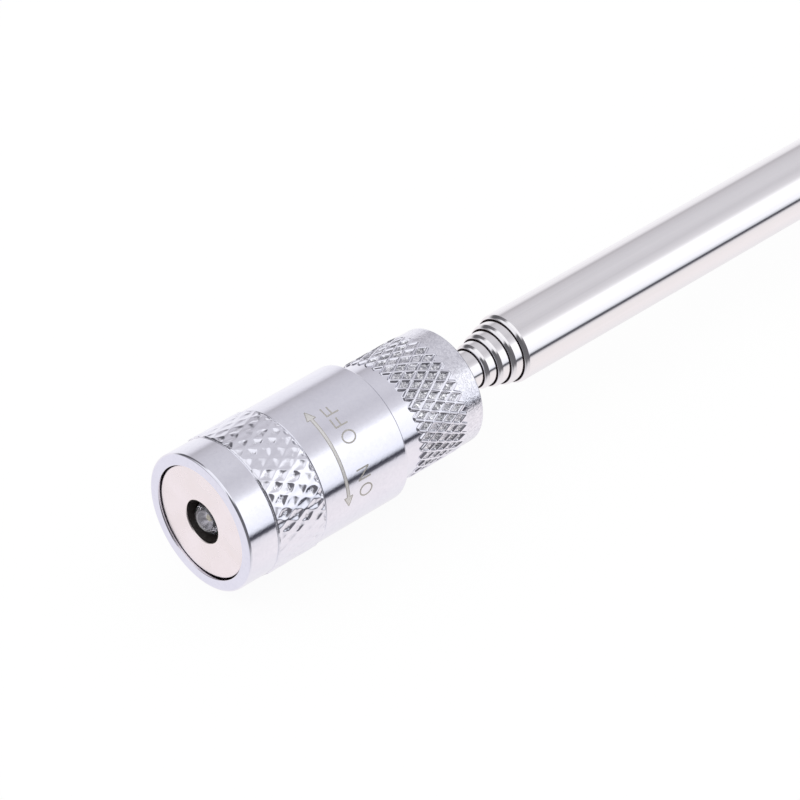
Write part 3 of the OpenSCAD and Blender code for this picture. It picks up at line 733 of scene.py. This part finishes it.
def clip_arm():
    """The arm's strip: a rounded rectangle set square to the path at each of its points.

    At distance s from the tip the half width is that of a half circle, sqrt(w^2 - (w - s)^2), until it
    reaches the full half width w. The rectangle's corners are quarter circles about four centres.
    """
    path, s = along(rounded([(CLIP_X, -TIP_R, 0), (CLIP_X + 4, -NIP_R, BEND), (CLIP_X + 10, -ARM_R, BEND),
                             (BAND_X - 5, -ARM_R, BEND), (BAND_X, -SEAT_R, BEND), (BAND_END - 0.3, -SEAT_R, 0)],
                            closed=False, steps=10), 0.25)
    normal = directions(path)[1][:, None]
    near = np.clip(s, 0.02, CLIP_HALF)
    width = np.maximum(np.sqrt(CLIP_HALF ** 2 - (CLIP_HALF - near) ** 2), CLIP_EDGE + 0.02)[:, None]
    swing = (np.arange(4)[:, None] * math.pi / 2 + np.linspace(0, math.pi / 2, 5)).ravel()
    side, face = np.repeat(((1, -1, -1, 1), (1, 1, -1, -1)), 5, axis=1)
    y = side * (width - CLIP_EDGE) + CLIP_EDGE * np.cos(swing)
    lift = face * (CLIP_T / 2 - CLIP_EDGE) + CLIP_EDGE * np.sin(swing)
    x, z = path[:, :1] + normal[..., 0] * lift, path[:, 1:] + normal[..., 1] * lift
    return np.stack((x, y, z), axis=-1)


arm = carried("clip_arm", clip_arm(), body="main_tube", slot="clip_steel", stands_for=["pocket_clip"])
p = rounded([(BAND_X, BAND_R + CLIP_T, CLIP_EDGE), (BAND_END, BAND_R + CLIP_T, CLIP_EDGE),
             (BAND_END, BAND_R, SOFT), (BAND_X, BAND_R, SOFT)])
clip_band = turned("clip_band", *p.T, 160, body="main_tube", slot="clip_steel", stands_for=["pocket_clip"])

# %% [markdown]
# ## The cells
#
# The works inside never show on the closed tool, but the cells are what the twist switch presses, so they
# are made properly too: turned cans with a thin sealing groove and a narrower top.

# %% Turn the cells
TOP_H, GROOVE = 0.68, 0.08
TOP_R, SEAL_R = 3.15, 3.42

cells = []
for k in range(1, 4):
    node = f"button_cell_{k}"
    x0, x1, can = station(node), station(node, 1), reach(node)
    top = x1 - TOP_H
    p = rounded([(x0, 0, 0), (x0, can, 0.25), (top, can, 0.2), (top, SEAL_R, 0), (top - GROOVE, SEAL_R - 0.06, 0),
                 (top - GROOVE, TOP_R + 0.05, 0), (top, TOP_R, 0), (x1, TOP_R, 0.25), (x1, 0, 0)], closed=False)
    cells.append(turned(f"cell_{k}", *p.T, 128, closed=False, body="battery_stack", slot="cell_steel",
                        stands_for=[node]))

# %% [markdown]
# ## The spring behind the cells
#
# A spring is a round wire carried along a helix, with one closed turn at each end. The Screw modifier
# can't close those turns, because it climbs evenly. Screwing the barrel on pushes the cells back, and the
# spring gives way in front while its rear end stays put.

# %% Wind the spring
WIRE_R, COIL_R, TURNS = 0.225, 2.6, 5


def wound_wire(x0, x1):
    """Points of a wire on a helix: closed turns rise by one wire, and the live turns share what is left."""
    t = np.linspace(0, TURNS, TURNS * 48 + 1)
    x = x0 + np.interp(t, [0, 1, TURNS - 1, TURNS], [0, 2 * WIRE_R, x1 - x0 - 2 * WIRE_R, x1 - x0])[:, None]
    a = 2 * math.pi * t[:, None]
    b = np.linspace(0, -2 * math.pi, 12, endpoint=False)
    r = COIL_R + WIRE_R * np.cos(b)
    return np.stack((x + WIRE_R * np.sin(b), r * np.cos(a), r * np.sin(a)), axis=-1)


spring_x, spring_end = station("contact_spring"), station("contact_spring", 1)
spring = carried("cell_spring", wound_wire(spring_x + WIRE_R, spring_end - WIRE_R), body="section_1",
                 slot="spring_steel", stands_for=["contact_spring"])
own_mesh(spring)

# %% [markdown]
# ## The marks on the barrel
#
# The arrow and the words ON and OFF are frosted into the plating by a laser. They could be painted by a
# mask, but a mask gets coarse close up. So they are strokes drawn on the unrolled barrel, with one
# coordinate along the tool and the other round it, and then wrapped round. Each is a very thin raised
# ribbon, which keeps its own matt finish at any angle.

# %% Draw strokes and wrap them round the barrel
FACING = math.radians(46.8)
MARK_RISE, MARK_SINK = 0.012, 0.03


def ribbon(path, width):
    """A flat stroke along a path of (station, distance round): its two edges, half a width to each side."""
    way, side = directions(path)
    if np.allclose(path[0], path[-1]):
        way[0] = way[-1] = (path[1] - path[-2]) / np.linalg.norm(path[1] - path[-2])
        side = np.stack((-way[:, 1], way[:, 0]), axis=-1)
    return path + side * width / 2, path - side * width / 2


def wrapped(edge, radius):
    """Lays unrolled points on a cylinder: the distance round, over the radius, is the angle."""
    a = FACING - edge[:, 1] / BARREL_R
    return np.stack((edge[:, 0], -radius * np.cos(a), radius * np.sin(a)), axis=-1)


def mark(name, strokes, rise=MARK_RISE):
    """One mesh of many strokes, each given by its two edges, with a closed four-sided cross-section."""
    points, quads, start = [], [], 0
    for left, right in strokes:
        n = len(left)
        low, high = BARREL_R - MARK_SINK, BARREL_R + rise
        rings = np.stack((wrapped(left, low), wrapped(left, high), wrapped(right, high), wrapped(right, low)), axis=1)
        points.append(rings.reshape(-1, 3))
        quads += [wrapped_grid(n, 4) + start, np.array(((3, 2, 1, 0), np.arange(4) + (n - 1) * 4)) + start]
        start += 4 * n
    piece = make_piece(name, np.vstack(points), np.vstack(quads), body="head")
    piece.data.set_sharp_from_angle(angle=math.radians(40))
    return piece


def dotted(*corners):
    """A path through a few corners with points close enough to bend round the barrel."""
    return along(np.array(corners, float), 0.06)[0]


print(f"marks stand {MARK_RISE} mm proud of the barrel")

# %% [markdown]
# ### The words
#
# A letter is a few strokes in its own upright frame, in millimetres. The letters stand with their tops
# towards the magnet and read upwards round the barrel, each centred on its own angle. A font would need
# its outline turned into a mesh first, and these plain letters are only one stroke thick.

# %% Write ON and OFF
WORD_X, LETTER_STROKE = 13.85, 0.15
TALL = 0.72

turn = np.linspace(0, 2 * math.pi, 49)
O = [np.stack((0.58 * np.cos(turn), 0.7 * np.sin(turn)), axis=-1)]
F = [dotted((-0.5, -TALL), (-0.5, TALL)), dotted((-0.5, 0.66), (0.48, 0.66)), dotted((-0.5, 0.02), (0.38, 0.02))]
N = [dotted((-0.5, -TALL), (-0.5, TALL)), dotted((-0.5, 0.7), (0.5, -0.7)), dotted((0.5, -TALL), (0.5, TALL))]
strokes = []
for letter, centre in ((O, -1.0), (F, -15.4), (F, -26.8), (O, 44.0), (N, 29.5)):
    middle = math.radians(centre) * BARREL_R
    strokes += [ribbon(np.stack((WORD_X - s[:, 1], middle - s[:, 0]), axis=-1), LETTER_STROKE) for s in letter]
words = mark("switch_words", strokes)

# %% [markdown]
# ### The arrow
#
# The double arrow is an outline with a paler fill. The fill is one broad stroke for the shaft and one
# tapering stroke for each head, and the outline is a finer stroke on each of their edges.

# %% Draw the double arrow
ARROW_X = 11.75
TOP, BOTTOM = math.radians(-35) * BARREL_R, math.radians(50.5) * BARREL_R
HEAD_LEN, HEAD_HALF, SHAFT_HALF = 1.0, 0.5, 0.15
FINE, FINE_TIP = 0.07, 0.08

shaft = TOP + HEAD_LEN, BOTTOM - HEAD_LEN
fill = [ribbon(dotted(*((ARROW_X, y) for y in shaft)), 2 * SHAFT_HALF)]
outline = [ribbon(dotted(*((ARROW_X + side * SHAFT_HALF, y) for y in shaft)), FINE) for side in (-1, 1)]
t = np.linspace(0.02, 1, 18)
for tip, back in ((TOP, 1), (BOTTOM, -1)):
    barb = tip + back * HEAD_LEN
    for side in (-1, 1):
        corner = (ARROW_X + side * HEAD_HALF, barb)
        outline += [ribbon(dotted((ARROW_X, tip), corner), FINE_TIP),
                    ribbon(dotted(corner, (ARROW_X + side * SHAFT_HALF, barb)), FINE)]
    fill.append([np.stack((ARROW_X + side * HEAD_HALF * t, tip + back * HEAD_LEN * t), axis=-1)
                 for side in (back, -back)])
arrow = mark("switch_arrow", outline, MARK_RISE + 0.004)
arrow_fill = mark("switch_arrow_fill", fill)


# %% [markdown]
# ## Effects that several finishes share
#
# Four effects return on many pieces: round turning marks, long drawing streaks, the soft skin of bright
# plating, and the smudges and specks that handling leaves. Each is built once as a node group and placed
# in a finish with values of its own. A group puts out only values that vary over the surface, and the
# finish decides what they do.

# %% Write the helpers for node groups
def new_group(name, outputs, **numbers):
    """A node group with a Position input, number inputs with their defaults, and number outputs."""
    group = bpy.data.node_groups.new(name, "ShaderNodeTree")
    group.interface.new_socket("Position", in_out="INPUT", socket_type="NodeSocketVector")
    for label, default in numbers.items():
        socket = group.interface.new_socket(label.replace("_", " "), in_out="INPUT", socket_type="NodeSocketFloat")
        socket.default_value = default
    for label in outputs:
        group.interface.new_socket(label, in_out="OUTPUT", socket_type="NodeSocketFloat")
    return group, group.nodes.new("NodeGroupInput").outputs, group.nodes.new("NodeGroupOutput").inputs


def noise(tree, place, scale, detail, roughness):
    """A Noise node: soft random values between 0 and 1 that change with place."""
    node = tree.nodes.new("ShaderNodeTexNoise")
    for label, value in (("Vector", place), ("Scale", scale), ("Detail", detail), ("Roughness", roughness)):
        link(tree, value, node.inputs[label])
    return node.outputs["Fac"]


def round_noise(tree, position, outwards, fast, around, detail, roughness):
    """Noise read at (run * fast, around * cos a, around * sin a), so that it meets itself round the tool.
    The run is the station, plus the radius where the marks cross flat faces too."""
    parts, place = tree.nodes.new("ShaderNodeSeparateXYZ"), tree.nodes.new("ShaderNodeCombineXYZ")
    link(tree, position, parts.inputs[0])
    x, y, z = parts.outputs
    squares = maths(tree, "ADD", maths(tree, "MULTIPLY", y, y), maths(tree, "MULTIPLY", z, z))
    radius = maths(tree, "SQRT", maths(tree, "ADD", squares, 1e-12))
    run = maths(tree, "ADD", x, radius) if outwards else x
    link(tree, maths(tree, "MULTIPLY", run, fast), place.inputs[0])
    for value, socket in ((y, place.inputs[1]), (z, place.inputs[2])):
        link(tree, maths(tree, "MULTIPLY", maths(tree, "DIVIDE", value, radius), around), socket)
    return noise(tree, place.outputs[0], 1.0, detail, roughness)


def put_out(tree, marks, wanted):
    """Puts marks out as they are for a height, and with more contrast for a shade."""
    link(tree, spread(tree, marks, 0.3, 0.7), wanted["Shade"])
    link(tree, marks, wanted["Height"])


print("helpers for node groups are ready")

# %% [markdown]
# ### The four effects
#
# A cutting tool leaves lines round the work, so its noise changes fast along the tool, or outwards on a
# face, and slowly round it. A drawing die leaves lines along the tube: the same noise, stretched the
# other way. A picture of brushed metal would show a seam. Plating has a soft unevenness, like the peel of
# an orange. Specks are small spheres round the scattered points of a Voronoi texture.

# %% Build the effects
turning, given, wanted = new_group("turning_marks", ("Shade", "Height"), Lines_per_metre=6000.0, Wander=1.5)
put_out(turning, round_noise(turning, given["Position"], True, given["Lines per metre"], given["Wander"], 3.0, 0.6),
        wanted)

drawing, given, wanted = new_group("drawing_streaks", ("Shade", "Height"), Streaks=30.0, Per_metre=60.0)
put_out(drawing, round_noise(drawing, given["Position"], False, given["Per metre"], given["Streaks"], 4.0, 0.65),
        wanted)

skin, given, wanted = new_group("plated_skin", ("Shade", "Height"), Per_metre=2600.0)
put_out(skin, noise(skin, given["Position"], given["Per metre"], 2.0, 0.55), wanted)

handling, given, wanted = new_group("handling_marks", ("Smudge", "Speck"), Size=400.0, Speck_size=500.0,
                                    Speck_share=0.06)
cloud = noise(handling, given["Position"], given["Size"], 4.0, 0.6)
link(handling, spread(handling, cloud, 0.35, 0.75), wanted["Smudge"])
spots = handling.nodes.new("ShaderNodeTexVoronoi")
link(handling, given["Position"], spots.inputs["Vector"])
link(handling, given["Speck size"], spots.inputs["Scale"])
link(handling, maths(handling, "LESS_THAN", spots.outputs["Distance"], given["Speck share"]), wanted["Speck"])
print("shared effects:", [group.name for group in bpy.data.node_groups])

# %% [markdown]
# ## Recipes for finishes
#
# Every finish is a Principled shader. A metal has Metallic at 1, its colour is mixed between a lighter and
# a darker tone by its marks, its roughness swings a little with them, and a Bump node turns their height
# into a faint unevenness of the reflections. A plastic is plainer: smudges alone vary its tone and gloss.

# %% Write the recipes
def new_finish(name, **plain):
    """A material with a Principled shader, whose unvarying values are set on the shader's own sockets."""
    finish = bpy.data.materials.new(name)
    finish.use_nodes = True
    shader = finish.node_tree.nodes["Principled BSDF"]
    for label, value in plain.items():
        shader.inputs[label.replace("_", " ")].default_value = value
    return finish, finish.node_tree, shader


def own_place(tree):
    """The place of a point on its own piece: Object coordinates, from one node for the whole tree."""
    node = tree.nodes.get("place") or tree.nodes.new("ShaderNodeTexCoord")
    node.name = "place"
    return node.outputs["Object"]


def use(tree, group, **values):
    """Places a shared effect in a finish with its own values."""
    node = tree.nodes.new("ShaderNodeGroup")
    node.node_tree = group
    link(tree, own_place(tree), node.inputs["Position"])
    for label, value in values.items():
        node.inputs[label.replace("_", " ")].default_value = value
    return node.outputs


def bumped(tree, shader, height, distance):
    """Feeds a height through a Bump node into the shader's normal. Distance is the height of 1, in metres."""
    node = tree.nodes.new("ShaderNodeBump")
    for label, value in (("Strength", 1.0), ("Distance", distance), ("Height", height)):
        link(tree, value, node.inputs[label])
    link(tree, node.outputs[0], shader.inputs["Normal"])


def metal(name, light, dark, rough, bump, smudge, marks, speck=0.0, **values):
    """A metal whose tone and roughness follow its marks, with smudges over them and perhaps a few specks."""
    finish, tree, shader = new_finish(name, Metallic=1.0)
    lines = use(tree, marks, **values)
    touch = use(tree, handling, Speck_share=speck)
    shade = maths(tree, "ADD", maths(tree, "MULTIPLY", lines["Shade"], 1 - smudge),
                  maths(tree, "MULTIPLY", touch["Smudge"], smudge))
    colour = blend_colours(tree, shade, dark, light)
    if speck:
        colour = blend_colours(tree, touch["Speck"], colour, (0.4, 0.38, 0.37))
    link(tree, colour, shader.inputs["Base Color"])
    link(tree, spread(tree, shade, 0, 1, rough[1], rough[0]), shader.inputs["Roughness"])
    bumped(tree, shader, lines["Height"], bump)
    return finish


def plastic(name, light, dark, rough, bump, scale, **plain):
    """A moulded plastic whose tone and gloss vary softly."""
    finish, tree, shader = new_finish(name, **plain)
    smudge = use(tree, handling, Size=scale)["Smudge"]
    link(tree, blend_colours(tree, smudge, dark, light), shader.inputs["Base Color"])
    link(tree, spread(tree, smudge, 0, 1, *rough), shader.inputs["Roughness"])
    bumped(tree, shader, smudge, bump)
    return finish


def give(finish, *pieces):
    """Gives a finish to new pieces, which have none yet."""
    for piece in pieces:
        piece.data.materials.append(finish)
    print(f"{finish.name}: {', '.join(piece.name for piece in pieces)}")


print("recipes for metal and plastic are ready")

# %% [markdown]
# ## Plating and polished steel
#
# Two finishes change where the mesh says so: the plating is dull and grainy in the knurl's pits, and the
# steel is dark on the lips' sheared edges, partly for the dull edge and partly as painted shade for the
# gap round the thinner tube. The change is added to what already feeds the shader. A second material on
# those faces would end in a hard border, while a value at the points fades.

# %% Plate the head and polish the tubes
def mesh_value(tree, name, low, high):
    """A value that the mesh's points carry, spread between its low and its high end."""
    node = tree.nodes.new("ShaderNodeAttribute")
    node.attribute_name = name
    return spread(tree, node.outputs["Fac"], low, high)


def overlay(finish, where, colour, roughness):
    """Lays another colour over a finish, and adds to its roughness, as far as a value says."""
    tree = finish.node_tree
    tone, gloss = (tree.nodes["Principled BSDF"].inputs[label] for label in ("Base Color", "Roughness"))
    link(tree, blend_colours(tree, where, tone.links[0].from_socket, colour), tone)
    link(tree, maths(tree, "ADD", gloss.links[0].from_socket, maths(tree, "MULTIPLY", where, roughness)), gloss)


plating = metal("bright_plating", (0.85, 0.85, 0.915), (0.795, 0.795, 0.865), (0.05, 0.09), 0.0000035, 0.4, skin)
tree = plating.node_tree
pressed = mesh_value(tree, "pit", 0.25, 0.75)
grain = spread(tree, noise(tree, own_place(tree), 4200.0, 2.0, 0.65), 0.40, 0.60)
overlay(plating, pressed, blend_colours(tree, grain, (0.34, 0.34, 0.37), (0.98, 0.98, 1.0)), 0.10)
height = tree.nodes["Bump"].inputs["Height"]
rise = maths(tree, "MULTIPLY", maths(tree, "MULTIPLY", grain, pressed), 9.0)
link(tree, maths(tree, "ADD", height.links[0].from_socket, rise), height)
give(plating, barrel, cap, tail)

steel = metal("drawn_stainless", (0.89, 0.875, 0.885), (0.84, 0.825, 0.835), (0.07, 0.12), 0.0000015, 0.2, drawing,
              Streaks=26.0, Per_metre=25.0)
# Painted shade: the lips' edges turn almost black, partly for the dull sheared edge and partly to stand in for the
# shadow in the gap round the thinner tube.
overlay(steel, mesh_value(steel.node_tree, "edge", 0.4, 0.9), (0.05, 0.035, 0.035), 0.4)
give(steel, *tubes)

# %% [markdown]
# ## The other finishes
#
# The clip is a coarser strip steel, the magnet a soft, warm nickel, and the laser's marks are matt. The
# holder is black moulded plastic, and the lens clear epoxy that is slightly milky. Inside are brass, tin,
# a green board and a white sleeve: small areas, but each has its own grain, so that it reads as its
# material when the tool is taken apart. Solids that were packed keep their mesh and only get a finish.

# %% Finish the other pieces
give(metal("clip_strip", (0.80, 0.80, 0.81), (0.70, 0.70, 0.72), (0.16, 0.28), 0.000002, 0.4, drawing,
           Streaks=14.0, Per_metre=90.0), arm, clip_band)
give(metal("magnet_nickel", (0.975, 0.90, 0.885), (0.93, 0.855, 0.825), (0.22, 0.30), 0.0000003, 0.7, skin,
           Per_metre=500.0), magnet)
give(metal("laser_mark", (0.62, 0.60, 0.56), (0.52, 0.50, 0.46), (0.40, 0.55), 0.000002, 0.3, skin,
           Per_metre=9000.0), words, arrow)
give(metal("laser_fill", (0.86, 0.85, 0.83), (0.78, 0.77, 0.75), (0.40, 0.55), 0.000002, 0.3, skin,
           Per_metre=9000.0), arrow_fill)
give(plastic("black_plastic", (0.040, 0.034, 0.032), (0.024, 0.020, 0.019), (0.35, 0.5), 0.000002, 3000.0), holder)
give(plastic("clear_epoxy", (0.94, 0.92, 1.0), (0.85, 0.82, 0.94), (0.01, 0.03), 0.000001, 1500.0,
             Transmission_Weight=0.88, IOR=1.53), lamp)
give(plastic("yellow_phosphor", (0.98, 0.94, 0.66), (0.90, 0.86, 0.58), (0.5, 0.6), 0.000001, 3000.0), phosphor)
give(metal("cell_can", (0.82, 0.82, 0.80), (0.74, 0.74, 0.72), (0.14, 0.26), 0.000001, 0.5, turning, 0.03,
           Lines_per_metre=4000.0), *cells)
give(metal("spring_wire", (0.74, 0.74, 0.76), (0.62, 0.62, 0.64), (0.18, 0.3), 0.000001, 0.4, turning,
           Lines_per_metre=2000.0), spring)
tin = metal("tinned_leads", (0.80, 0.80, 0.80), (0.66, 0.66, 0.66), (0.2, 0.35), 0.000001, 0.5, drawing,
            Streaks=8.0, Per_metre=800.0)
give(tin, cup)

brass = metal("spring_brass", (0.83, 0.66, 0.36), (0.72, 0.55, 0.27), (0.22, 0.36), 0.000001, 0.5, turning,
              Lines_per_metre=9000.0)
green = plastic("green_board", (0.055, 0.28, 0.13), (0.035, 0.20, 0.09), (0.35, 0.5), 0.000002, 2500.0)
white = plastic("white_sleeve", (0.88, 0.88, 0.85), (0.82, 0.82, 0.79), (0.4, 0.55), 0.000002, 1200.0)
kept = {"led_leads": tin, "contact_board": green, "contact_rivet": brass, "battery_sleeve": white,
        "rod_stud": brass, **{f"friction_spring_{k}": brass for k in range(1, 5)}}
for name, finish in kept.items():
    solid = nodes[name]
    if not solid.material_slots:
        solid.data.materials.append(finish)
    for slot in solid.material_slots:
        slot.material = finish
print(f"{len(kept)} solids keep their own mesh; {len(bpy.data.materials)} materials")

# %% [markdown]
# ## Picture settings
#
# Colours go straight to the screen with the Standard view. The sizes of the imported solids are written
# out, because dressing must not change the tool's dimensions.

# %% Finish
bpy.context.scene.view_settings.view_transform = "Standard"
print("solids ", [round((b - a) / MM, 3) for a, b in zip(cad_low, cad_high)])
